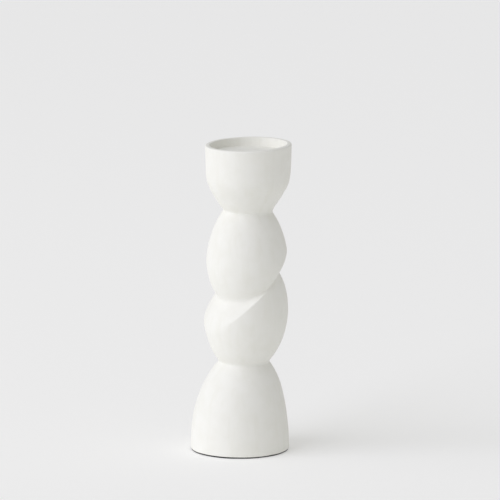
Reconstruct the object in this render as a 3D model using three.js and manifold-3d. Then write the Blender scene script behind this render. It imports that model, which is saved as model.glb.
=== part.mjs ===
// A holder for one pillar candle: four turned and carved wooden forms, stacked and pinned
// with hidden dowels, on a felt pad. Millimetres, +Z up, origin under the middle of the base.
//
// The two middle forms are eggs that grow out of each other. A slanted joint axis runs through
// both: the seat between them is square to it, a dowel lies along it, and two large balls
// centred on it trim the lower egg to a ledge and the upper egg to an undercut.

import * as THREE from 'three';
import { mergeVertices } from 'three/addons/utils/BufferGeometryUtils.js';
import Module from 'manifold-3d';

const wasm = await Module();
wasm.setup();

// Driving sizes

const joinGap = 0.3; // air left between two pieces that touch

const feltThickness = 1;
const feltInset = 0.7; // how far the felt's edge stays inside the base's edge

const baseRadius = 50.8;
const baseEdgeRound = 0.8;
const bellHeight = 91.1; // from the base's underside to the lower neck
const bellShoulder = 2.2; // power of the bell's curve: over 2, it stays full and then turns in

const lowerNeckRadius = 25.9;
const bulbRadius = 44.3;
const bulbDrop = 54; // from the bulb's widest ring down to the lower neck
const bulbPoint = 1.8; // power of that curve: under 2, it comes to more of a point
const bulbCrown = 58; // how far the bulb's own curve rises above that ring

const ringSpacing = 50.9; // from the bulb's widest ring up to the egg's widest ring

const eggRadius = 42.2;
const eggPoint = 1.7; // power of the egg's curve
const eggTail = 52.5; // how far the egg's own curve drops below its widest ring
const eggRise = 52.5; // from that ring up to the upper neck
const eggLean = 2.6; // how far that ring stands forward (-Y) of the upper neck
const upperNeckRadius = 24.9;
const neckSlope = -2.4; // degrees by which the egg's top and the cup's foot rise to the right

const cupHeight = 69.2; // from the upper neck to the middle of the rim
const cupShoulderHeight = 35; // where the bowl's curve meets the cup's side
const cupTaper = 1.1; // the cup's side comes in this far from the rim to that place
const bowlLean = 1.9; // the bowl's curve leaves the shoulder nearly upright: it comes in this
const bowlDepth = 12; // far over this depth, and then turns in to the neck
const rimWall = 5.2; // at the rim, outside the recess
const rimOuterRound = 1.8;
const rimSlope = 1.3; // degrees by which the cup's rim rises to the right
const candleDiameter = 76.2; // a standard three-inch pillar candle
const candleClearance = 1.3; // all round the candle
const recessDepth = 9;

const jointRise = 20.6; // from the bulb's widest ring to the middle of the slanted joint
const jointLeft = 4.8; // the joint's middle stands left of the centre line by this much
const jointBack = 0.9; // and behind it by this much
const jointTilt = 33.5; // degrees between the slanted joint axis and upright
const jointTowards = 201; // degrees from +X to the side that the joint axis leans to
const ledgeBall = { radius: 72.3, reach: 12.2 }; // trims the bulb: its skin passes beyond the
const undercutBall = { radius: 92.8, reach: 12.2 }; // joint's middle by its reach

const dowelDiameter = 12;
const dowelLength = 50;
const dowelChamfer = 1.2;
const dowelEndGap = 0.6; // glue room at each end of a dowel

const turns = 56; // flat sides in a full round
const ballTurns = 80;
const dowelTurns = 24;
const stepsPerCurve = 15;
const stepsPerRound = 4;

// Heights that follow from the sizes

const bellBottom = feltThickness + joinGap;
const lowerNeck = bellBottom + bellHeight;
const bulbWidest = lowerNeck + bulbDrop;
const eggWidest = bulbWidest + ringSpacing;
const upperNeck = eggWidest + eggRise;
const rimHeight = upperNeck + cupHeight;
const recessFloor = rimHeight - recessDepth;
const recessRadius = candleDiameter / 2 + candleClearance;
const rimRadius = recessRadius + rimWall;
const cupShoulderRadius = rimRadius - cupTaper;

// The stack is made by hand and its centre line wanders: between two heights it drifts a few
// millimetres to the right (+X).

const drifts = [
  { from: bellBottom + 26, to: bulbWidest - 20, right: 5.5 },
  { from: bulbWidest, to: eggWidest, right: 2 },
  { from: eggWidest, to: upperNeck, right: 0.7 },
  { from: upperNeck + 20, to: rimHeight - 20, right: 0.5 },
];

function centreLine(height) {
  let right = 0;
  for (const drift of drifts) {
    right += drift.right * THREE.MathUtils.smoothstep(height, drift.from, drift.to);
  }
  return right;
}

// Solids

function toSolid(geometry) {
  const bare = geometry.clone();
  bare.deleteAttribute('normal');
  bare.deleteAttribute('uv');
  const merged = mergeVertices(bare, 1e-4);
  const vertProperties = new Float32Array(merged.getAttribute('position').array);
  const triVerts = new Uint32Array(merged.getIndex().array);
  return new wasm.Manifold(new wasm.Mesh({ numProp: 3, vertProperties, triVerts }));
}

function toGeometry(solid) {
  const mesh = solid.getMesh();
  const indexed = new THREE.BufferGeometry();
  indexed.setAttribute('position', new THREE.BufferAttribute(mesh.vertProperties, 3));
  indexed.setIndex(new THREE.BufferAttribute(mesh.triVerts, 1));
  const geometry = indexed.toNonIndexed();
  geometry.computeVertexNormals();
  return geometry;
}

// A round solid about +Z. The profile is a list of [radius, height], from the axis to the axis.
function turned(profile, sides = turns) {
  const points = profile.map(([radius, height]) => new THREE.Vector2(radius, height));
  const geometry = new THREE.LatheGeometry(points, sides);
  geometry.rotateX(Math.PI / 2);
  return geometry;
}

// Moves each level ring of a turned form onto the wandering centre line.
function alongCentreLine(geometry) {
  const position = geometry.getAttribute('position');
  for (let i = 0; i < position.count; i += 1) {
    position.setX(i, position.getX(i) + centreLine(position.getZ(i)));
  }
  return geometry;
}

// The radius of an ellipse-like curve at a height above or below its widest ring.
function curveRadius(widest, reach, height, power = 2) {
  return widest * Math.sqrt(Math.max(0, 1 - (Math.abs(height) / reach) ** power));
}

// How far such a curve would reach if it passes through a given radius at a given height.
function curveReach(widest, radius, height, power = 2) {
  return height / (1 - (radius / widest) ** 2) ** (1 / power);
}

// Points on the curve between two heights, spaced by angle so that the ends stay round.
function curvePoints(widest, reach, ring, fromHeight, toHeight, power = 2) {
  const fromAngle = Math.asin(THREE.MathUtils.clamp(fromHeight / reach, -1, 1));
  const toAngle = Math.asin(THREE.MathUtils.clamp(toHeight / reach, -1, 1));
  const points = [];
  for (let i = 0; i <= stepsPerCurve; i += 1) {
    const angle = THREE.MathUtils.lerp(fromAngle, toAngle, i / stepsPerCurve);
    const height = reach * Math.sin(angle);
    points.push([curveRadius(widest, reach, height, power), ring + height]);
  }
  return points;
}

// A quarter round about a centre, from one angle to another in degrees.
function arcPoints(centreRadius, centreHeight, round, fromAngle, toAngle) {
  const points = [];
  for (let i = 0; i <= stepsPerRound; i += 1) {
    const degrees = THREE.MathUtils.lerp(fromAngle, toAngle, i / stepsPerRound);
    const angle = THREE.MathUtils.degToRad(degrees);
    points.push([centreRadius + round * Math.cos(angle), centreHeight + round * Math.sin(angle)]);
  }
  return points;
}

// The slanted joint between the two middle forms

const upright = new THREE.Vector3(0, 0, 1);
const jointHeight = bulbWidest + jointRise;
const jointMiddle = new THREE.Vector3(
  centreLine(jointHeight) - jointLeft,
  jointBack,
  jointHeight,
);
const jointAxis = upright.clone();
jointAxis.applyAxisAngle(new THREE.Vector3(0, 1, 0), THREE.MathUtils.degToRad(jointTilt));
jointAxis.applyAxisAngle(upright, THREE.MathUtils.degToRad(jointTowards));

function alongJoint(distance) {
  return jointMiddle.clone().addScaledVector(jointAxis, distance);
}

// Turns a solid made about +Z so that it stands on the joint's middle, along the joint axis.
function ontoJoint(geometry) {
  const turn = new THREE.Quaternion().setFromUnitVectors(upright, jointAxis);
  geometry.applyQuaternion(turn);
  geometry.translate(jointMiddle.x, jointMiddle.y, jointMiddle.z);
  return geometry;
}

// Everything on the upper side of the seat, whose plane is lifted by a distance, or on the
// lower side of it.
function sideOfSeat(isAbove, lift) {
  const size = 4 * (bulbRadius + eggRadius);
  const block = new THREE.BoxGeometry(size, size, size);
  block.translate(0, 0, lift + (isAbove ? size / 2 : -size / 2));
  return toSolid(ontoJoint(block));
}

// A ball centred on the joint axis, whose skin passes beyond the joint's middle by its reach:
// on the upper side of the seat with a side of 1, and on the lower side with -1.
function trimBall({ radius, reach }, side, margin) {
  const centre = alongJoint(side * (reach - radius));
  const geometry = new THREE.SphereGeometry(radius + margin, ballTurns, ballTurns / 2);
  geometry.translate(centre.x, centre.y, centre.z);
  return toSolid(geometry);
}

// The lower egg form with its ledge, made larger all round by a margin.
function bulbForm(margin) {
  const widest = bulbRadius + margin;
  const dropReach = curveReach(bulbRadius, lowerNeckRadius, bulbDrop, bulbPoint);
  const bottom = [[0, lowerNeck], [lowerNeckRadius + margin, lowerNeck]];
  const below = curvePoints(widest, dropReach, bulbWidest, -bulbDrop, 0, bulbPoint).slice(1);
  const crown = bulbCrown + margin;
  const above = curvePoints(widest, crown, bulbWidest, 0, crown).slice(1, -1);
  const profile = [...bottom, ...below, ...above, [0, bulbWidest + crown]];
  const form = toSolid(alongCentreLine(turned(profile)));
  return form.intersect(trimBall(ledgeBall, 1, margin));
}

// The upper egg form with its undercut, made larger all round by a margin.
function eggForm(margin) {
  const widest = eggRadius + margin;
  const tail = eggTail + margin;
  const riseReach = curveReach(eggRadius, upperNeckRadius, eggRise, eggPoint);
  const below = curvePoints(widest, tail, eggWidest, -tail, 0, eggPoint).slice(1);
  const above = curvePoints(widest, riseReach, eggWidest, 0, eggRise, eggPoint).slice(1, -1);
  const top = [[upperNeckRadius + margin, upperNeck], [0, upperNeck]];
  const profile = [[0, eggWidest - tail], ...below, ...above, ...top];
  const form = toSolid(alongCentreLine(leaningEgg(turned(profile))));
  return form.intersect(trimBall(undercutBall, -1, margin));
}

// Brings each ring of the egg forward in proportion to its depth under the upper neck, and tips
// the rings near the neck so that the egg's top slopes as the neck does.
function leaningEgg(geometry) {
  const position = geometry.getAttribute('position');
  const slope = Math.tan(THREE.MathUtils.degToRad(neckSlope));
  for (let i = 0; i < position.count; i += 1) {
    const height = position.getZ(i);
    const share = THREE.MathUtils.smoothstep(height, eggWidest, upperNeck);
    position.setY(i, position.getY(i) - eggLean * (upperNeck - height) / eggRise);
    position.setZ(i, height + share * slope * position.getX(i));
  }
  return geometry;
}

// Tips each ring of the cup, made with its foot at height 0: the foot slopes as the egg's top
// does and the rim has a slope of its own, while the cup's side stays upright.
function slopingCup(geometry) {
  const position = geometry.getAttribute('position');
  const footSlope = Math.tan(THREE.MathUtils.degToRad(neckSlope));
  const topSlope = Math.tan(THREE.MathUtils.degToRad(rimSlope));
  for (let i = 0; i < position.count; i += 1) {
    const height = position.getZ(i);
    const slope = THREE.MathUtils.mapLinear(height, 0, cupHeight, footSlope, topSlope);
    position.setZ(i, height + slope * position.getX(i));
  }
  return geometry;
}

// Dowels and the blind holes that take them, made about +Z with the middle at the origin

function dowelGeometry() {
  const radius = dowelDiameter / 2;
  const half = dowelLength / 2;
  return turned([
    [0, -half],
    [radius - dowelChamfer, -half],
    [radius, -half + dowelChamfer],
    [radius, half - dowelChamfer],
    [radius - dowelChamfer, half],
    [0, half],
  ], dowelTurns);
}

function dowelHoleGeometry() {
  const radius = dowelDiameter / 2 + joinGap;
  const half = dowelLength / 2 + dowelEndGap;
  return turned([[0, -half], [radius, -half], [radius, half], [0, half]], dowelTurns);
}

function atNeck(geometry, height) {
  geometry.translate(centreLine(height), 0, height);
  return geometry;
}

const lowerNeckHole = toSolid(atNeck(dowelHoleGeometry(), lowerNeck));
const upperNeckHole = toSolid(atNeck(dowelHoleGeometry(), upperNeck));
const jointHole = toSolid(ontoJoint(dowelHoleGeometry()));

// The pieces

function feltPad() {
  const radius = baseRadius - feltInset;
  return turned([[0, 0], [radius, 0], [radius, feltThickness], [0, feltThickness]]);
}

function bellBase() {
  const reach = curveReach(baseRadius, lowerNeckRadius, bellHeight, bellShoulder);
  const edge = arcPoints(baseRadius - baseEdgeRound, baseEdgeRound, baseEdgeRound, -90, 0);
  const side = curvePoints(baseRadius, reach, 0, 0, bellHeight, bellShoulder)
    .filter(([, height]) => height > 2 * baseEdgeRound && height < bellHeight - joinGap);
  const topHeight = bellHeight - joinGap;
  const topRadius = curveRadius(baseRadius, reach, topHeight, bellShoulder);
  const profile = [[0, 0], ...edge, ...side, [topRadius, topHeight], [0, topHeight]];
  const lifted = profile.map(([radius, height]) => [radius, bellBottom + height]);
  return toGeometry(toSolid(alongCentreLine(turned(lifted))).subtract(lowerNeckHole));
}

function lowerBulb() {
  const keptByEgg = eggForm(joinGap).intersect(sideOfSeat(true, 0));
  return toGeometry(bulbForm(0).subtract(keptByEgg).subtract(jointHole).subtract(lowerNeckHole));
}

function upperBulb() {
  const keptByBulb = bulbForm(joinGap).intersect(sideOfSeat(false, joinGap));
  return toGeometry(eggForm(0).subtract(keptByBulb).subtract(jointHole).subtract(upperNeckHole));
}

function candleCup() {
  const neck = joinGap; // the cup starts just above the egg's top
  const bowl = new THREE.QuadraticBezierCurve(
    new THREE.Vector2(upperNeckRadius, neck),
    new THREE.Vector2(cupShoulderRadius - bowlLean, cupShoulderHeight - bowlDepth),
    new THREE.Vector2(cupShoulderRadius, cupShoulderHeight),
  );
  const rimStart = rimRadius - rimOuterRound;
  const profile = [
    [0, neck],
    ...bowl.getPoints(stepsPerCurve).map((point) => [point.x, point.y]),
    ...arcPoints(rimStart, cupHeight - rimOuterRound, rimOuterRound, 0, 90),
    [0, cupHeight],
  ];
  const outside = slopingCup(turned(profile));
  outside.translate(0, 0, upperNeck);
  const recessTop = rimHeight + cupHeight;
  const recess = turned([
    [0, recessFloor],
    [recessRadius, recessFloor],
    [recessRadius, recessTop],
    [0, recessTop],
  ]);
  recess.translate(centreLine(rimHeight), 0, 0);
  const cup = toSolid(alongCentreLine(outside)).subtract(toSolid(recess));
  return toGeometry(cup.subtract(upperNeckHole));
}

// Finishes and the assembly

const whitePaint = { color: 0xf0efe9, roughness: 0.78, metalness: 0 };
const bareBeech = { color: 0xc9a06b, roughness: 0.7, metalness: 0 };
const blackFelt = { color: 0x1b1b1c, roughness: 0.95, metalness: 0 };

function piece(name, geometry, finish) {
  const mesh = new THREE.Mesh(geometry, new THREE.MeshStandardMaterial(finish));
  mesh.name = name;
  return mesh;
}

const group = new THREE.Group();
group.add(
  piece('felt_pad', feltPad(), blackFelt),
  piece('bell_base', bellBase(), whitePaint),
  piece('lower_bulb', lowerBulb(), whitePaint),
  piece('upper_bulb', upperBulb(), whitePaint),
  piece('candle_cup', candleCup(), whitePaint),
  piece('base_dowel', atNeck(dowelGeometry(), lowerNeck), bareBeech),
  piece('middle_dowel', ontoJoint(dowelGeometry()), bareBeech),
  piece('cup_dowel', atNeck(dowelGeometry(), upperNeck), bareBeech),
);

export default group;
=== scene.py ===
# %% [markdown]
# # A carved wooden candlestick
#
# The object is a holder for one wide pillar candle: a bell-shaped foot, two egg forms that grow
# out of each other, and a cup with a shallow recess. A wood turner makes the four forms on a
# lathe, pins them together with hidden dowels, carves the slanted joint between the eggs by
# hand, then fills, sands and paints the whole stack a matte warm white. Each step below follows
# that work: turn the forms, carve the joint, part the skin into its pieces, drill the dowel
# holes, then paint.

# %% Load the frame
import math

import bpy
from mathutils import Matrix, Vector


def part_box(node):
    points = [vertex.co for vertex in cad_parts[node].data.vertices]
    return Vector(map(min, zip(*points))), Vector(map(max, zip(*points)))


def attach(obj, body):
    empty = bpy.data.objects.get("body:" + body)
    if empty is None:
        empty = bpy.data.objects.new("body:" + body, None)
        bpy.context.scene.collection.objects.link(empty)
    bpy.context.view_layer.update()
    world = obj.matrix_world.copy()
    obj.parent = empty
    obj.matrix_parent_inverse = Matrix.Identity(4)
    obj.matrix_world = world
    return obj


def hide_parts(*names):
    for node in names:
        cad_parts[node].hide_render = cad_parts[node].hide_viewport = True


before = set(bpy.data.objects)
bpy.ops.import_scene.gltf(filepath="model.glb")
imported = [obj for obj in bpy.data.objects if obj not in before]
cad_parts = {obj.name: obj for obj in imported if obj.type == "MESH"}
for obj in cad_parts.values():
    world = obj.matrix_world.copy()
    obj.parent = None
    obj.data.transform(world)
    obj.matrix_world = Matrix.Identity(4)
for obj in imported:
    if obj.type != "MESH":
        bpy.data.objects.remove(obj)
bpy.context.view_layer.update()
bpy.ops.object.select_all(action="DESELECT")
print("packed nodes:", sorted(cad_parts))

# %% [markdown]
# ## Sizes
#
# Blender works in metres here. The imported model says where each piece starts and stops, so the
# necks, the rim and most of the widths are read from its boxes. What a box can't tell is listed
# here: the powers of the curves, the rings between the necks, the wall of the cup and the
# lean of the joint.

# %% Read the sizes from the frame
MM = 0.001


def low(node):
    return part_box(node)[0]


def high(node):
    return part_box(node)[1]


def middle(node):
    return (low(node) + high(node)) / 2


def width(node):
    return high(node).y - low(node).y


glue_gap = 0.3 * MM
foot_bottom = low("bell_base").z
foot_radius = width("bell_base") / 2
lower_neck = middle("base_dowel").z
upper_neck = middle("cup_dowel").z
bulb_radius = width("lower_bulb") / 2
rim_radius = width("candle_cup") / 2
rim_slope = math.tan(math.radians(1.3))
rim_height = high("candle_cup").z - rim_radius * rim_slope
print(f"necks at {lower_neck / MM:.1f} and {upper_neck / MM:.1f} mm, rim at {rim_height / MM:.1f}")

# %% Name what the boxes can't tell
foot_edge_round = 0.8 * MM
foot_power = 2.2

lower_neck_radius = 25.9 * MM
bulb_ring = lower_neck + 54 * MM
bulb_crown = 58 * MM
bulb_power = 1.8

egg_radius = 42.2 * MM
egg_ring = bulb_ring + 50.9 * MM
egg_tail = 52.5 * MM
egg_rise = upper_neck - egg_ring
egg_power = 1.7
egg_lean = 2.6 * MM
upper_neck_radius = 24.9 * MM
neck_slope = math.tan(math.radians(-2.4))

rim_wall = 5.2 * MM
recess_radius = rim_radius - rim_wall
recess_floor = rim_height - 9 * MM
shoulder_height = 35 * MM
shoulder_radius = rim_radius - 1.1 * MM
bowl_lean = 1.9 * MM
bowl_depth = 12 * MM
rim_outer_round = 1.8 * MM
rim_inner_round = 0.8 * MM
floor_round = 0.5 * MM

neck_fillet = 2 * MM
around = 192

# %% [markdown]
# ## The wandering centre line
#
# The stack isn't true: it was built by eye, and its middle drifts a few millimetres to the right
# on the way up. Each form is turned straight, and then its rings are pushed sideways. The
# Displace modifier does this well, because a vertex group can say how much of the push each
# ring takes, and its strength is the drift in metres.

# %% Helpers for objects and modifiers


def only(piece):
    """Leaves one object selected and active, as a click on it does."""
    bpy.ops.object.select_all(action="DESELECT")
    piece.select_set(True)
    bpy.context.view_layer.objects.active = piece
    return piece


def modify(piece, kind, **settings):
    """Adds a modifier, sets it up and applies it."""
    only(piece)
    bpy.ops.object.modifier_add(type=kind)
    modifier = piece.modifiers[-1]
    for setting, value in settings.items():
        setattr(modifier, setting, value)
    bpy.ops.object.modifier_apply(modifier=modifier.name)
    return piece


def smoothstep(value, start, end):
    share = min(1, max(0, (value - start) / (end - start)))
    return share * share * (3 - 2 * share)


def modify_by_share(piece, kind, share, **settings):
    """Applies a modifier that takes, at each vertex, the share from 0 to 1 that a test gives."""
    group = piece.vertex_groups.new(name="share")
    for vertex in piece.data.vertices:
        group.add([vertex.index], share(vertex.co), "REPLACE")
    modify(piece, kind, vertex_group="share", **settings)
    piece.vertex_groups.clear()
    return piece


def push(piece, distance, share, **settings):
    """Pushes each vertex by a distance, times its share."""
    settings = {"mid_level": 0, **settings}
    return modify_by_share(piece, "DISPLACE", share, strength=distance, **settings)


# %% The drift of the stack and the tilt of its rings
drifts = [
    (foot_bottom + 26 * MM, bulb_ring - 20 * MM, 5.5 * MM),
    (bulb_ring, egg_ring, 2 * MM),
    (egg_ring, upper_neck, 0.7 * MM),
    (upper_neck + 20 * MM, rim_height - 20 * MM, 0.5 * MM),
]
left_to_right = bpy.data.textures.new("left to right", "BLEND")


def centre_line(height):
    return sum(shift * smoothstep(height, start, end) for start, end, shift in drifts)


def wander(piece):
    """Puts the rings of a straight form on the centre line."""
    reach = drifts[0][2] * 2
    return push(piece, reach, lambda place: centre_line(place.z) / reach, direction="X")


def tip(piece, slope, share):
    """Makes rings rise to the right by a slope, times the share that each place takes."""
    gradient = {"texture": left_to_right, "texture_coords": "LOCAL", "mid_level": 0.5}
    return push(piece, 2 * slope, share, direction="Z", **gradient)


print(f"the rim's middle is {centre_line(rim_height) / MM:.1f} mm right of the foot's")

# %% [markdown]
# ## Turning on the lathe
#
# A lathe cuts a form whose every section is a circle, so half of its outline says it all. Here
# one vertex is extruded along that outline and the chain is spun round the upright axis. The
# outlines are formulas: an ellipse whose power is a little over or under 2 gives a fuller or a
# more pointed curve, which is how the foot and the eggs differ.

# %% Helpers for outlines


def curve_radius(widest, reach, rise, power=2):
    """The radius of a form at a height above or below its widest ring."""
    return widest * math.sqrt(max(0, 1 - (abs(rise) / reach) ** power))


def curve_reach(widest, radius, rise, power=2):
    """How far the curve would reach, if it has a given radius at a given height."""
    return rise / (1 - (radius / widest) ** 2) ** (1 / power)


def spaced(start, end, steps):
    return [start + (end - start) * step / steps for step in range(steps + 1)]


def curve(widest, reach, ring, start, end, power=2, steps=40):
    """Outline points [radius, height] between two heights, closer together near the poles."""
    first = math.asin(max(-1, start / reach))
    last = math.asin(min(1, end / reach))
    rises = [reach * math.sin(angle) for angle in spaced(first, last, steps)]
    return [(curve_radius(widest, reach, rise, power), ring + rise) for rise in rises]


def corner(centre_radius, centre_height, round, start, end, steps=8):
    """A rounded corner about a centre, between two directions in degrees."""
    angles = [math.radians(degrees) for degrees in spaced(start, end, steps)]
    points = [(round * math.cos(angle), round * math.sin(angle)) for angle in angles]
    return [(centre_radius + out, centre_height + up) for out, up in points]


def bezier(start, control, end, shares):
    """Points on a curve that leaves start towards control and reaches end from it."""
    points = []
    for share in shares:
        weights = ((1 - share) ** 2, 2 * share * (1 - share), share ** 2)
        columns = zip(start, control, end)
        points.append(tuple(sum(w * c for w, c in zip(weights, column)) for column in columns))
    return points


# %% The lathe


def turn(name, outline):
    """Spins an outline [radius, height], drawn from the axis to the axis, into a closed form."""
    bpy.ops.mesh.primitive_plane_add(size=MM)
    piece = bpy.context.object
    piece.name = name
    bpy.ops.object.mode_set(mode="EDIT")
    bpy.ops.mesh.select_all(action="SELECT")
    bpy.ops.mesh.merge(type="CENTER")
    bpy.ops.transform.translate(value=(outline[0][0], 0, outline[0][1]))
    for (radius, height), (next_radius, next_height) in zip(outline, outline[1:]):
        move = (next_radius - radius, 0, next_height - height)
        bpy.ops.mesh.extrude_region_move(TRANSFORM_OT_translate={"value": move})
    bpy.ops.mesh.select_all(action="SELECT")
    bpy.ops.mesh.spin(steps=around, angle=math.tau, center=(0, 0, 0), axis=(0, 0, 1))
    bpy.ops.mesh.select_all(action="SELECT")
    bpy.ops.mesh.remove_doubles(threshold=0.01 * MM)
    bpy.ops.mesh.normals_make_consistent(inside=False)
    bpy.ops.object.mode_set(mode="OBJECT")
    return piece


def report(piece):
    size = [round(side / MM, 1) for side in piece.dimensions]
    print(f"{piece.name}: {len(piece.data.vertices)} vertices, {size} mm")
    return piece


# %% [markdown]
# ## The necks
#
# Two forms meet in a deep groove at each neck. Filler and paint collect in it, so the groove has
# a small round bottom. Each form's outline stops a little short of the neck and takes half of
# a soft valley, whose other half belongs to the form on the other side. Both halves end on the
# same ring with the same slope, so the painted skin runs across the joint unbroken.

# %% The curves of the four forms beside their necks
foot_height = lower_neck - foot_bottom
foot_reach = curve_reach(foot_radius, lower_neck_radius, foot_height, foot_power)
bulb_drop = bulb_ring - lower_neck
bulb_reach = curve_reach(bulb_radius, lower_neck_radius, bulb_drop, bulb_power)
egg_reach = curve_reach(egg_radius, upper_neck_radius, egg_rise, egg_power)


def bowl_share(height):
    """How far along the bowl's curve a height above the neck lies, from 0 to 1."""
    control = shoulder_height - bowl_depth
    bend = shoulder_height - 2 * control
    return (math.sqrt(control ** 2 + bend * height) - control) / bend


def bowl(start, end, steps):
    """Points on the bowl between two shares, from the neck at 0 to the shoulder at 1."""
    neck = (upper_neck_radius, upper_neck)
    control = (shoulder_radius - bowl_lean, upper_neck + shoulder_height - bowl_depth)
    shoulder = (shoulder_radius, upper_neck + shoulder_height)
    return bezier(neck, control, shoulder, spaced(start, end, steps))


def foot_at(rise):
    return curve_radius(foot_radius, foot_reach, rise, foot_power)


def bulb_at(drop):
    return curve_radius(bulb_radius, bulb_reach, drop, bulb_power)


def egg_at(rise):
    return curve_radius(egg_radius, egg_reach, rise, egg_power)


def cup_at(rise):
    share = bowl_share(rise)
    return bowl(share, share, 1)[0][0]


# %% The grooves, with a little of the next form beyond them
waste = 4 * MM
groove_reach = 1.5 * waste


def groove(below, neck_radius, above, neck):
    """A neck's outline upwards. Each form gives its radius at a distance from the neck."""
    start = (below(neck_fillet), neck - neck_fillet)
    end = (above(neck_fillet), neck + neck_fillet)
    valley = bezier(start, (neck_radius, neck), end, spaced(0, 1, 12))
    return [(below(waste), neck - waste), *valley, (above(waste), neck + waste)]


lower_groove = groove(
    lambda down: foot_at(foot_height - down),
    lower_neck_radius,
    lambda up: bulb_at(bulb_drop - up),
    lower_neck,
)
upper_groove = groove(
    lambda down: egg_at(egg_rise - down),
    upper_neck_radius,
    cup_at,
    upper_neck,
)
print(f"groove radii {lower_groove[7][0] / MM:.1f} and {upper_groove[7][0] / MM:.1f} mm")

# %% [markdown]
# ## Hand finishing
#
# A lathe leaves perfect circles, and a sanding block takes them away again: the real surface is
# never quite even. A Displace modifier with soft noise takes off up to half a millimetre, and
# because every form reads the same noise at the same place, the skin stays level across a neck.
# Each form is turned with a little waste beyond its neck, sanded, and then parted off on the
# neck's plane, so the cut is clean and the two halves of the groove meet.

# %% Sanding and parting off
sanding = bpy.data.textures.new("sanding", "CLOUDS")
sanding.noise_scale = 26 * MM
sanding.noise_depth = 1


def sand(piece, depth=0.45 * MM):
    """Takes off a little unevenly all over, and adds nothing."""
    settings = {"texture": sanding, "texture_coords": "LOCAL", "mid_level": 1}
    return modify(piece, "DISPLACE", strength=depth, direction="NORMAL", **settings)


def combine(piece, other, operation):
    """Cuts or joins a piece with another one, which is used up."""
    modify(piece, "BOOLEAN", object=other, operation=operation, solver="MANIFOLD")
    only(other)
    bpy.ops.object.delete()
    return only(piece)


def part_off(piece, place, beyond):
    """Saws off what lies beyond a plane, with a block whose face stands on that plane."""
    size = 8 * foot_radius
    rotation = beyond.to_track_quat("Z", "Y").to_euler()
    centre = place + beyond * size / 2
    bpy.ops.mesh.primitive_cube_add(size=size, location=centre, rotation=rotation)
    return combine(piece, bpy.context.object, "DIFFERENCE")


up = Vector((0, 0, 1))
along_upper_neck = Vector((-neck_slope, 0, 1)).normalized()
lower_neck_place = Vector((centre_line(lower_neck), 0, lower_neck))
upper_neck_place = Vector((centre_line(upper_neck), 0, upper_neck))

# %% [markdown]
# ## The foot
#
# The foot is one turned bell with a flat underside. Its edge is only eased with sandpaper, so it
# has a small round, and its curve stays full for most of its height before it turns in.

# %% Turn the foot
foot = turn("painted_foot", [
    (0, foot_bottom),
    *corner(foot_radius - foot_edge_round, foot_bottom + foot_edge_round, foot_edge_round, -90, 0),
    *curve(foot_radius, foot_reach, foot_bottom, 3 * foot_edge_round,
           foot_height - groove_reach, foot_power, steps=60),
    *lower_groove,
    (0, lower_neck + waste),
])
wander(foot)
sand(foot)
part_off(foot, lower_neck_place, up)
report(foot)

# %% [markdown]
# ## The cup
#
# The cup is a bowl that turns upright at its shoulder, with a shallow recess that holds a pillar
# candle three inches across. A short curve takes the corner off the shoulder, from a share of
# the bowl's curve to a ring of the side. The rim slopes a little while the recess floor is level,
# because the recess was bored later with the whole stack held upright. So the outside's rings
# are tipped from neck to rim, and the recess wall only where it comes near the rim.

# %% Turn the cup
rim_outer = rim_radius - rim_outer_round
rim_inner = recess_radius + rim_inner_round
bowl_ends = 0.78
bend_starts = 0.8
bend_ring = 4
side_rings = 20
side_radii = spaced(shoulder_radius, rim_radius, side_rings)
side_heights = spaced(upper_neck + shoulder_height, rim_height - rim_outer_round, side_rings)
side = list(zip(side_radii, side_heights))
bowl_top = bowl(bend_starts, bend_starts, 1)[0]
cup = turn("painted_cup", [
    (0, upper_neck - waste),
    *upper_groove,
    *bowl(bowl_share(groove_reach), bowl_ends, 40),
    *bezier(bowl_top, side[0], side[bend_ring], spaced(0, 1, 12)),
    *side[bend_ring + 1:],
    *corner(rim_outer, rim_height - rim_outer_round, rim_outer_round, 0, 90)[1:],
    *corner(rim_inner, rim_height - rim_inner_round, rim_inner_round, 90, 180),
    *corner(recess_radius - floor_round, recess_floor + floor_round, floor_round, 0, -90, steps=4),
    *[(radius, recess_floor) for radius in spaced(recess_radius - 1.5 * MM, 0, 16)],
])


def in_recess(place):
    """Whether a vertex of the straight cup lies in the recess: on its wall or its floor."""
    return math.hypot(place.x, place.y) < recess_radius + 0.1 * MM and place.z > upper_neck + waste


def rim_share(place):
    start = recess_floor if in_recess(place) else upper_neck
    return min(1, max(0, (place.z - start) / (rim_height - start)))


def neck_share(place):
    return 0 if in_recess(place) else 1 - rim_share(place)


tip(cup, rim_slope, rim_share)
tip(cup, neck_slope, neck_share)
wander(cup)
sand(cup)
part_off(cup, upper_neck_place, -along_upper_neck)
report(cup)

# %% [markdown]
# ## The eggs and the slanted joint
#
# The two middle forms are eggs that grow out of each other. A slanted axis runs through both,
# and two big balls centred on it trim them: one cuts the lower egg down to a domed ledge, and
# the other undercuts the upper egg, so that a sharp crescent winds round the stack. A carver
# does this with a gouge on the glued-up pair. Here both eggs are turned, trimmed with Boolean
# modifiers and joined into one skin.

# %% The joint's place and direction
joint_place = middle("middle_dowel")
joint_tilt = Matrix.Rotation(math.radians(33.5), 3, "Y")
joint_turn = Matrix.Rotation(math.radians(201), 3, "Z") @ joint_tilt
joint_axis = joint_turn @ up
ledge_ball = (72.3 * MM, 12.2 * MM)
undercut_ball = (92.8 * MM, 12.2 * MM)
print("joint axis", [round(part, 3) for part in joint_axis])


# %% Helpers that copy and trim
def copy_of(piece, name):
    only(piece)
    bpy.ops.object.duplicate()
    twin = bpy.context.object
    twin.name = name
    return twin


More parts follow.
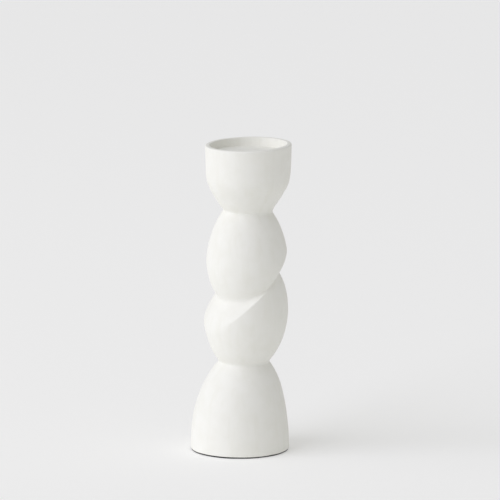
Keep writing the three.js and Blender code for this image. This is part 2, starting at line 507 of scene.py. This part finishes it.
def trim_to_ball(piece, ball, side, margin):
    """Keeps what lies in a ball whose skin passes beyond the joint by its reach."""
    radius, reach = ball
    centre = joint_place + joint_axis * side * (reach - radius)
    bpy.ops.mesh.primitive_uv_sphere_add(
        segments=around, ring_count=around // 2, radius=radius + margin, location=centre)
    return combine(piece, bpy.context.object, "INTERSECT")


# %% Turn the two eggs
def lean(piece):
    """Brings the egg's rings forward, the more the deeper they lie under its neck."""
    farthest = 3 * egg_lean

    def forward_share(place):
        return max(0, (upper_neck - place.z) / egg_rise * egg_lean / farthest)

    return push(piece, -farthest, forward_share, direction="Y")


def turn_bulb(margin=0):
    widest = bulb_radius + margin
    crown = bulb_crown + margin
    bulb = turn("bulb", [
        (0, lower_neck - waste),
        *[(radius + margin, height) for radius, height in lower_groove],
        *curve(widest, bulb_reach, bulb_ring, groove_reach - bulb_drop, 0, bulb_power),
        *curve(widest, crown, bulb_ring, 0, crown)[1:],
    ])
    wander(bulb)
    return trim_to_ball(bulb, ledge_ball, 1, margin)


def turn_egg(margin=0):
    widest = egg_radius + margin
    tail = egg_tail + margin
    egg = turn("egg", [
        *curve(widest, tail, egg_ring, -tail, 0, egg_power),
        *curve(widest, egg_reach, egg_ring, 0, egg_rise - groove_reach, egg_power)[1:],
        *[(radius + margin, height) for radius, height in upper_groove],
        (0, upper_neck + waste),
    ])
    lean(egg)
    tip(egg, neck_slope, lambda place: smoothstep(place.z, egg_ring, upper_neck))
    wander(egg)
    return trim_to_ball(egg, undercut_ball, -1, margin)


body = combine(turn_bulb(), turn_egg(), "UNION")
body.name = "eggs"
report(body)

# %% [markdown]
# ## One carved skin
#
# Boolean cuts leave razor edges and long thin faces. A voxel remesh lays one even skin over both
# eggs, fine enough to keep the crescent crisp, and a few rounds of smoothing take out its steps
# and ease the edges by about half a millimetre, as sandpaper and paint do.
#
# Then comes the carver's hand. The gouge left the ledge a little hollow towards its pointed end,
# and filler made the crease soft on the left, where the two eggs run together. Both are given by
# how far a place lies under the lower egg's full curve, outside the upper egg and off the ledge:
# the first is nothing at the arris, and the second is nothing in the crease.

# %% Remesh and smooth the eggs
skin_step = 0.65 * MM
easing_rounds = 5
modify(body, "REMESH", mode="VOXEL", voxel_size=skin_step)
modify(body, "SMOOTH", factor=0.5, iterations=easing_rounds)
report(body)

# %% Where a place lies on the carved skin
ledge_radius, ledge_reach = ledge_ball
ledge_centre = joint_place + joint_axis * (ledge_reach - ledge_radius)


def from_middle(place, forward=0):
    return math.hypot(place.x - centre_line(place.z), place.y + forward)


def under_bulb(place):
    """How deep a place lies under the lower egg's full curve."""
    return curve_radius(bulb_radius, bulb_crown, place.z - bulb_ring) - from_middle(place)


def outside_egg(place):
    """How far a place lies outside the upper egg's full curve."""
    forward = egg_lean * (upper_neck - place.z) / egg_rise
    full = curve_radius(egg_radius, egg_tail, place.z - egg_ring, egg_power)
    return from_middle(place, forward) - full


def off_ledge(place):
    return abs((place - ledge_centre).length - ledge_radius)


def gouge_share(place):
    """Most along the middle of the ledge, and none on the left."""
    under = max(0, under_bulb(place))
    outside = max(0, outside_egg(place))
    ledge_width = max(under + outside, 0.2 * MM)
    across = 4 * under * outside / ledge_width ** 2 * min(1, ledge_width / (8 * MM))
    on_ledge = 1 - smoothstep(off_ledge(place), 0.6 * MM, 1.6 * MM)
    return across * on_ledge * smoothstep(place.x, -18 * MM, 6 * MM)


def filler_share(place):
    """Full in the crease on the left and, farther left, on the arris too."""
    off = off_ledge(place)
    near_crease = 1 - smoothstep(math.hypot(outside_egg(place), off), 4 * MM, 12 * MM)
    near_arris = 1 - smoothstep(math.hypot(under_bulb(place), off), 2 * MM, 8 * MM)
    left = 1 - smoothstep(place.x, -8 * MM, 14 * MM)
    far_left = 1 - smoothstep(place.x, -24 * MM, -10 * MM)
    front = smoothstep(-place.y, 0, 16 * MM)
    return max(near_crease * left, near_arris * far_left) * (0.15 + 0.85 * front)


# %% Gouge, fill and sand the eggs
gouge_depth = 1.7 * MM
filling_rounds = 260
push(body, -gouge_depth, gouge_share, direction="NORMAL")
modify_by_share(body, "SMOOTH", filler_share, factor=0.5, iterations=filling_rounds)
sand(body)
part_off(body, lower_neck_place, -up)
part_off(body, upper_neck_place, along_upper_neck)
report(body)

# %% [markdown]
# ## Parting the skin
#
# The finished skin is cut back into the lower egg and the upper egg. The cutter follows the
# lower egg a little outside its own skin, and stops at the seat where the upper egg stands, so
# the seam runs in the crease, where filler hides it on the real one.

# %% Cut the eggs apart
seam_margin = 1.5 * MM
cutter_low = lower_neck - 2 * waste


def turn_cutter():
    """The lower egg with a margin, straight-sided under its widest ring."""
    widest = bulb_radius + seam_margin
    crown = bulb_crown + seam_margin
    cutter = turn("cutter", [
        (0, cutter_low),
        (widest, cutter_low),
        *curve(widest, crown, bulb_ring, 0, crown),
    ])
    wander(cutter)
    return trim_to_ball(cutter, ledge_ball, 1, seam_margin)


egg_above_seat = part_off(turn_egg(-seam_margin), joint_place, -joint_axis)
cutter = combine(turn_cutter(), egg_above_seat, "DIFFERENCE")
lower_egg = copy_of(body, "painted_lower_egg")
combine(lower_egg, copy_of(cutter, "spare cutter"), "INTERSECT")
upper_egg = body
upper_egg.name = "painted_upper_egg"
combine(upper_egg, cutter, "DIFFERENCE")
report(lower_egg)
report(upper_egg)

# %% [markdown]
# ## Dowels and their holes
#
# A beech dowel holds each joint. Shop dowels have straight flutes, so that glue and air can get
# out of the blind hole, and a chamfer at each end to start them. A cylinder gets its flutes by
# scaling every third column of vertices inwards. The ends are inset before that, so the flutes
# run out at the chamfer, and each hole is a plain bore that leaves room for glue.

# %% Helpers for work in edit mode


def select_by(piece, chosen, mode="VERT"):
    """Selects the vertices, edges or faces that a test picks by their middle, in edit mode."""
    bpy.ops.object.mode_set(mode="EDIT")
    bpy.ops.mesh.select_mode(type=mode)
    bpy.ops.mesh.select_all(action="DESELECT")
    bpy.ops.object.mode_set(mode="OBJECT")
    mesh = piece.data
    if mode == "VERT":
        for vertex in mesh.vertices:
            vertex.select = chosen(vertex.co)
    elif mode == "EDGE":
        for edge in mesh.edges:
            ends = [mesh.vertices[index].co for index in edge.vertices]
            edge.select = chosen(*ends)
    else:
        for face in mesh.polygons:
            face.select = chosen(face.center)
    bpy.ops.object.mode_set(mode="EDIT")


def stand(piece, place, turned=None):
    """Moves a piece made about the origin to its place, and leaves the place in its mesh."""
    only(piece)
    piece.location = place
    if turned is not None:
        piece.rotation_euler = turned.to_euler()
    bpy.ops.object.transform_apply(location=True, rotation=True, scale=True)
    return piece


# %% Make and stand the dowels
dowel_radius = 6 * MM
dowel_length = 50 * MM
dowel_chamfer = 1.2 * MM
dowel_end_ring = 0.4 * MM
flute_depth = 0.4 * MM
flutes = 24
hole_radius = dowel_radius + glue_gap
hole_half_length = dowel_length / 2 + 2 * glue_gap
hole_sides = 72


def fluted_dowel(name):
    bpy.ops.mesh.primitive_cylinder_add(
        vertices=3 * flutes, radius=dowel_radius, depth=dowel_length - 2 * dowel_chamfer)
    dowel = bpy.context.object
    dowel.name = name
    half = dowel_length / 2 - dowel_chamfer
    for end in (1, -1):
        select_by(dowel, lambda place: place.z * end > half - dowel_chamfer / 2, mode="FACE")
        rise = {"value": (0, 0, end * dowel_chamfer)}
        bpy.ops.mesh.extrude_region_move(TRANSFORM_OT_translate=rise)
        narrow = 1 - dowel_chamfer / dowel_radius
        bpy.ops.transform.resize(value=(narrow, narrow, 1))
        bpy.ops.mesh.inset(thickness=dowel_end_ring, depth=0)
        bpy.ops.object.mode_set(mode="OBJECT")
    column = math.tau / flutes

    def in_flute(place):
        turned = math.atan2(place.y, place.x) % column
        on_side = math.hypot(place.x, place.y) > dowel_radius - 0.1 * MM
        return on_side and min(turned, column - turned) < column / 6

    select_by(dowel, in_flute)
    deep = 1 - flute_depth / dowel_radius
    bpy.ops.transform.resize(value=(deep, deep, 1))
    bpy.ops.object.mode_set(mode="OBJECT")
    return dowel


def drill(piece, place, turned=None):
    """Bores a blind dowel hole, whose middle is on the joint."""
    bpy.ops.mesh.primitive_cylinder_add(
        vertices=hole_sides, radius=hole_radius, depth=2 * hole_half_length)
    bore = stand(bpy.context.object, place, turned)
    return combine(piece, bore, "DIFFERENCE")


first_dowel = fluted_dowel("dowel_in_foot")
second_dowel = copy_of(first_dowel, "dowel_in_slanted_joint")
third_dowel = copy_of(first_dowel, "dowel_in_cup")
stand(first_dowel, lower_neck_place)
stand(second_dowel, joint_place, joint_turn)
stand(third_dowel, upper_neck_place)

drill(foot, lower_neck_place)
drill(lower_egg, lower_neck_place)
drill(lower_egg, joint_place, joint_turn)
drill(upper_egg, joint_place, joint_turn)
drill(upper_egg, upper_neck_place)
drill(cup, upper_neck_place)
for dowel in (first_dowel, second_dowel, third_dowel):
    report(dowel)

# %% [markdown]
# ## The felt
#
# A disc of black felt is glued under the foot, a little inside its edge. It shows as a thin dark
# line all round. Felt is cut with scissors, so its outline isn't a true circle, and its edge is
# soft. It is as thick as the gap between the foot and the floor, glue included.

# %% Cut the felt pad
felt_radius = width("felt_pad") / 2
felt_thickness = foot_bottom
felt_round = 0.35 * MM
felt_rings = 4
bpy.ops.mesh.primitive_cylinder_add(vertices=around, radius=felt_radius, depth=felt_thickness)
felt = bpy.context.object
felt.name = "felt_disc"


def on_rim(start, end):
    return abs(start.z - end.z) < 0.1 * MM


select_by(felt, on_rim, mode="EDGE")
bpy.ops.mesh.bevel(offset=felt_round, segments=3, affect="EDGES")
bpy.ops.object.mode_set(mode="OBJECT")
select_by(felt, lambda place: abs(place.z) > 0.49 * felt_thickness, mode="FACE")
for ring in range(felt_rings):
    bpy.ops.mesh.inset(thickness=felt_radius / (felt_rings + 1), depth=0)
bpy.ops.object.mode_set(mode="OBJECT")
stand(felt, (0, 0, felt_thickness / 2))
scissors = bpy.data.textures.new("scissors", "CLOUDS")
scissors.noise_scale = 9 * MM
scissor_cut = {"texture": scissors, "texture_coords": "LOCAL", "mid_level": 1}
scissor_depth = 0.5 * MM


def on_edge(place):
    return 1 if math.hypot(place.x, place.y) > felt_radius - 2 * felt_round else 0


push(felt, scissor_depth, on_edge, direction="NORMAL", **scissor_cut)
report(felt)

# %% Shade the pieces smooth, but keep their cut edges crisp
painted = [foot, lower_egg, upper_egg, cup]
dowels = [first_dowel, second_dowel, third_dowel]
for piece in [*painted, *dowels, felt]:
    only(piece)
    bpy.ops.object.shade_smooth_by_angle(angle=math.radians(40))

# %% [markdown]
# ## Finishes
#
# Three finishes cover the object: matte white paint on the carved wood, bare beech on the dowels
# and black felt. They share a few effects, and each effect is a node group with its own inputs,
# so that a material places it with the fineness that suits it. The groups only give values that
# change over the surface, and each material mixes them into colour, roughness and bump. All of
# them read Object coordinates, so grain and mottling run on from one piece to the next.

# %% Helpers for nodes


def node(tree, kind, feeds=None, **settings):
    """Adds a node, sets its options, and feeds its inputs with values or other nodes' outputs."""
    made = tree.nodes.new("ShaderNode" + kind)
    for setting, value in settings.items():
        setattr(made, setting, value)
    for socket, value in (feeds or {}).items():
        if isinstance(value, bpy.types.NodeSocket):
            tree.links.new(value, made.inputs[socket])
        else:
            made.inputs[socket].default_value = value
    return made


def math_node(tree, operation, first, second):
    return node(tree, "Math", {0: first, 1: second}, operation=operation).outputs[0]


def ramp(tree, value, start, end, low_value=0.0, high_value=1.0):
    """Follows a value smoothly from one level to another."""
    feeds = {"Value": value, "From Min": start, "From Max": end}
    feeds.update({"To Min": low_value, "To Max": high_value})
    return node(tree, "MapRange", feeds, interpolation_type="SMOOTHSTEP").outputs[0]


def blend(tree, share, first, second):
    """Mixes two colours. The colour sockets of a Mix node are its sixth and seventh inputs."""
    mix = node(tree, "Mix", {0: share, 6: first, 7: second}, data_type="RGBA")
    return mix.outputs[2]


def new_group(name, inputs, outputs):
    """A node group with a Vector input, some numbers with their defaults, and value outputs."""
    tree = bpy.data.node_groups.new(name, "ShaderNodeTree")
    tree.interface.new_socket("Vector", in_out="INPUT", socket_type="NodeSocketVector")
    for socket, default in inputs.items():
        made = tree.interface.new_socket(socket, in_out="INPUT", socket_type="NodeSocketFloat")
        made.default_value = default
    for socket in outputs:
        tree.interface.new_socket(socket, in_out="OUTPUT", socket_type="NodeSocketFloat")
    given = tree.nodes.new("NodeGroupInput").outputs
    result = tree.nodes.new("NodeGroupOutput").inputs
    return tree, given, result


def effect(tree, group, vector, **values):
    """Places a node group in a material. Its outputs are read by name."""
    placed = tree.nodes.new("ShaderNodeGroup")
    placed.node_tree = group
    tree.links.new(vector, placed.inputs["Vector"])
    for socket, value in values.items():
        placed.inputs[socket].default_value = value
    return placed.outputs


# %% [markdown]
# ## Shared effects
#
# Wood grain is noise that is stretched a long way up the log. Paint settles in soft clouds. Small
# pits are the middles of a few Voronoi cells. Pointiness, which says how sharply the mesh bends,
# finds the hollows and the edges, where the paint gets painted shade and a painted highlight.

# %% Grain, clouds and pits
grain_group, given, result = new_group(
    "upright grain", {"Fineness": 600.0, "Stretch": 14.0}, ["Grain"])
across = given["Fineness"]
along = math_node(grain_group, "DIVIDE", across, given["Stretch"])
scales = node(grain_group, "CombineXYZ", {"X": across, "Y": across, "Z": along})
stretched = node(
    grain_group, "VectorMath", {0: given["Vector"], 1: scales.outputs[0]}, operation="MULTIPLY")
streaks = node(
    grain_group, "TexNoise",
    {"Vector": stretched.outputs[0], "Scale": 1.0, "Detail": 4.0, "Roughness": 0.55})
grain_group.links.new(streaks.outputs["Fac"], result["Grain"])

cloud_group, given, result = new_group("clouds", {"Fineness": 60.0}, ["Cloud"])
puffs = node(
    cloud_group, "TexNoise",
    {"Vector": given["Vector"], "Scale": given["Fineness"], "Detail": 3.0, "Roughness": 0.5})
cloud_group.links.new(puffs.outputs["Fac"], result["Cloud"])

pit_group, given, result = new_group(
    "pits", {"Fineness": 90.0, "Width": 0.1, "Share": 0.12}, ["Pit"])
cells = node(pit_group, "TexVoronoi", {"Vector": given["Vector"], "Scale": given["Fineness"]})
bowl_shape = ramp(pit_group, cells.outputs["Distance"], 0.0, given["Width"], 1.0, 0.0)
draw = node(pit_group, "SeparateColor", {"Color": cells.outputs["Color"]})
picked = math_node(pit_group, "LESS_THAN", draw.outputs[0], given["Share"])
pit_group.links.new(math_node(pit_group, "MULTIPLY", bowl_shape, picked), result["Pit"])

# %% Hollows and edges
bend_group, given, result = new_group(
    "bends", {"Hollow At": 0.44, "Edge At": 0.57}, ["Hollow", "Edge"])
pointiness = node(bend_group, "NewGeometry").outputs["Pointiness"]
hollow = ramp(bend_group, pointiness, 0.495, given["Hollow At"])
edge = ramp(bend_group, pointiness, 0.505, given["Edge At"])
bend_group.links.new(hollow, result["Hollow"])
bend_group.links.new(edge, result["Edge"])
print("effects:", [group.name for group in bpy.data.node_groups])


# %% A new material
def new_material(name):
    material = bpy.data.materials.new(name)
    material.use_nodes = True
    tree = material.node_tree
    place = node(tree, "TexCoord").outputs["Object"]
    return material, tree, place, tree.nodes["Principled BSDF"].inputs


def raise_surface(tree, shader, heights, distance):
    """Sums some heights, each times its own share, and bumps the surface by them."""
    total = None
    for height, share in heights:
        part = math_node(tree, "MULTIPLY", height, share)
        total = part if total is None else math_node(tree, "ADD", total, part)
    bump = node(tree, "Bump", {"Height": total, "Distance": distance, "Strength": 1.0})
    tree.links.new(bump.outputs["Normal"], shader["Normal"])


# %% [markdown]
# ## White paint on carved wood
#
# The paint is a chalky warm white, brushed on thick enough to fill the pores but not to hide the
# wood: a faint upright grain still shows, with soft mottling from the brush, fine tooth like
# an eggshell, and a few small pits that the filler missed, darkened with painted shade. Painted
# shade darkens the creases, and a painted highlight lightens the sharp edges.

# %% Mix the paint
paint, tree, place, shader = new_material("matte_white_paint")
grain = effect(tree, grain_group, place, Fineness=420.0, Stretch=16.0)["Grain"]
wide_grain = effect(tree, grain_group, place, Fineness=110.0, Stretch=7.0)["Grain"]
brush = effect(tree, cloud_group, place, Fineness=75.0)["Cloud"]
tooth = effect(tree, cloud_group, place, Fineness=1500.0)["Cloud"]
pit = effect(tree, pit_group, place, Fineness=75.0, Width=0.075, Share=0.14)["Pit"]
bends = effect(tree, bend_group, place)

white = (0.867, 0.862, 0.812, 1)
aged_white = (0.838, 0.832, 0.77, 1)
# painted shade colour, for the creases and the small pits
painted_shade_white = (0.80, 0.79, 0.72, 1)
# painted highlight colour, for the sharp edges
painted_highlight_white = (0.93, 0.928, 0.88, 1)
mottling = blend(tree, ramp(tree, brush, 0.35, 0.75, 0, 0.6), white, aged_white)
streaked = blend(tree, ramp(tree, wide_grain, 0.45, 0.75), mottling, aged_white)
# painted shade in the creases, where the mesh bends inwards
with_painted_crease_shade = blend(tree, math_node(tree, "MULTIPLY", bends["Hollow"], 0.5), streaked, painted_shade_white)
# a painted highlight on the sharp edges
with_painted_edge_highlight = blend(tree, math_node(tree, "MULTIPLY", bends["Edge"], 0.8), with_painted_crease_shade, painted_highlight_white)
# painted shade in the small pits
with_painted_pit_shade = blend(tree, math_node(tree, "MULTIPLY", pit, 0.55), with_painted_edge_highlight, painted_shade_white)
tree.links.new(with_painted_pit_shade, shader["Base Color"])
tree.links.new(ramp(tree, brush, 0.3, 0.7, 0.62, 0.78), shader["Roughness"])
shader["Specular IOR Level"].default_value = 0.3
heights = [(grain, 0.1), (wide_grain, 0.2), (brush, 0.15), (tooth, 0.02), (pit, -0.3)]
raise_surface(tree, shader, heights, 0.5 * MM)

# %% [markdown]
# ## Bare beech
#
# Beech is pale and pinkish brown, with fine short grain along the dowel and many small darker
# flecks. The slanted dowel's grain slants with it, so its material turns the pattern first.

# %% Mix the beech


def new_beech(name, turned):
    beech, tree, place, shader = new_material(name)
    along_dowel = node(
        tree, "Mapping", {"Vector": place, "Rotation": turned}, vector_type="TEXTURE").outputs[0]
    fibres = effect(tree, grain_group, along_dowel, Fineness=1100.0, Stretch=22.0)["Grain"]
    rings = effect(tree, grain_group, along_dowel, Fineness=240.0, Stretch=30.0)["Grain"]
    flecks = effect(tree, pit_group, along_dowel, Fineness=900.0, Width=0.4, Share=0.25)["Pit"]
    light = (0.56, 0.37, 0.21, 1)
    dark = (0.40, 0.235, 0.12, 1)
    fleck = (0.30, 0.16, 0.075, 1)
    wood = blend(tree, ramp(tree, rings, 0.35, 0.7), light, dark)
    wood = blend(tree, ramp(tree, fibres, 0.4, 0.8, 0, 0.5), wood, dark)
    wood = blend(tree, math_node(tree, "MULTIPLY", flecks, 0.6), wood, fleck)
    tree.links.new(wood, shader["Base Color"])
    tree.links.new(ramp(tree, fibres, 0.3, 0.7, 0.5, 0.7), shader["Roughness"])
    raise_surface(tree, shader, [(fibres, 0.5), (flecks, -0.2)], 0.15 * MM)
    return beech


upright_beech = new_beech("beech", (0, 0, 0))
slanted_beech = new_beech("slanted_beech", tuple(joint_turn.to_euler()))

# %% [markdown]
# ## Black felt
#
# Felt is a mat of short fibres with no weave. Two sizes of noise make it clumpy, and a little
# sheen catches light on the fibres that stand up.

# %% Mix the felt
felt_finish, tree, place, shader = new_material("black_felt")
clumps = effect(tree, cloud_group, place, Fineness=700.0)["Cloud"]
fibres = effect(tree, cloud_group, place, Fineness=2600.0)["Cloud"]
lint = effect(tree, pit_group, place, Fineness=500.0, Width=0.25, Share=0.08)["Pit"]
felt_dark = (0.010, 0.010, 0.011, 1)
felt_light = (0.035, 0.035, 0.037, 1)
lint_grey = (0.16, 0.16, 0.16, 1)
matted = blend(tree, ramp(tree, clumps, 0.3, 0.7), felt_dark, felt_light)
matted = blend(tree, ramp(tree, fibres, 0.4, 0.8, 0, 0.5), matted, felt_light)
matted = blend(tree, math_node(tree, "MULTIPLY", lint, 0.3), matted, lint_grey)
tree.links.new(matted, shader["Base Color"])
tree.links.new(ramp(tree, clumps, 0.3, 0.7, 0.88, 1.0), shader["Roughness"])
shader["Sheen Weight"].default_value = 0.25
raise_surface(tree, shader, [(clumps, 0.5), (fibres, 0.6)], 0.4 * MM)

# %% Give each piece its finish and its place on the body, and hide the frame part it stands for
stands_for = {
    foot: "bell_base",
    lower_egg: "lower_bulb",
    upper_egg: "upper_bulb",
    cup: "candle_cup",
    first_dowel: "base_dowel",
    second_dowel: "middle_dowel",
    third_dowel: "cup_dowel",
    felt: "felt_pad",
}
for piece, cad_node in stands_for.items():
    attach(piece, "root")
    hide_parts(cad_node)
for piece in painted:
    piece.data.materials.clear()
    piece.data.materials.append(paint)
for dowel in dowels:
    dowel.data.materials.clear()
    dowel.data.materials.append(slanted_beech if dowel == second_dowel else upright_beech)
felt.data.materials.append(felt_finish)

# %% [markdown]
# ## Floor, light and camera
#
# The stack stands on a plain pale floor that runs out of sight behind it. A broad, slightly blue
# window low on the left makes the forms round, and a softbox beside it lifts their left sides. A
# bright room and a faint glow from the floor fill the shadows. The camera is far off with a long
# lens, and looks down a little, so the recess shows as a thin oval.

# %% Lay the floor
bpy.ops.mesh.primitive_plane_add(size=60)
floor = bpy.context.object
floor.name = "floor"
floor_finish, tree, place, shader = new_material("pale_floor")
shader["Base Color"].default_value = (0.81, 0.808, 0.79, 1)
shader["Roughness"].default_value = 0.9
shader["Specular IOR Level"].default_value = 0.1
shader["Emission Color"].default_value = (1, 1, 1, 1)
shader["Emission Strength"].default_value = 0.21
floor.data.materials.append(floor_finish)

# %% Set up the camera
camera_distance = 6.2
camera_height = camera_distance * math.tan(math.radians(12.9))
looks_at = Vector((10.4 * MM, 0, 208.3 * MM))
bpy.ops.object.camera_add(location=(0, -camera_distance, camera_height))
camera = bpy.context.object
camera.rotation_euler = (looks_at - camera.location).to_track_quat("-Z", "Y").to_euler()
camera.data.sensor_width = 36
camera.data.lens = 443.5
bpy.context.scene.camera = camera
bpy.context.scene.view_settings.view_transform = "Standard"


# %% Set up the lights
bpy.ops.object.light_add(type="SUN")
window = bpy.context.object
window.name = "window"
towards_window = Vector((-0.75, -0.433, 0.5))
window.rotation_euler = towards_window.to_track_quat("Z", "Y").to_euler()
window.data.color = (0.9, 0.905, 1)
window.data.energy = 1.32
window.data.angle = math.radians(60)

bpy.ops.object.light_add(type="AREA", location=(-2.35, 0, 1.03))
softbox = bpy.context.object
softbox.name = "left fill"
towards_stack = Vector((0, 0, 0.18)) - softbox.location
softbox.rotation_euler = towards_stack.to_track_quat("-Z", "Y").to_euler()
softbox.data.energy = 7.5
softbox.data.size = 2

room = bpy.data.worlds.new("room")
room.use_nodes = True
background = room.node_tree.nodes["Background"].inputs
background["Color"].default_value = (1, 1, 1, 1)
background["Strength"].default_value = 0.53
bpy.context.scene.world = room
print("lights:", window.name, "and", softbox.name)
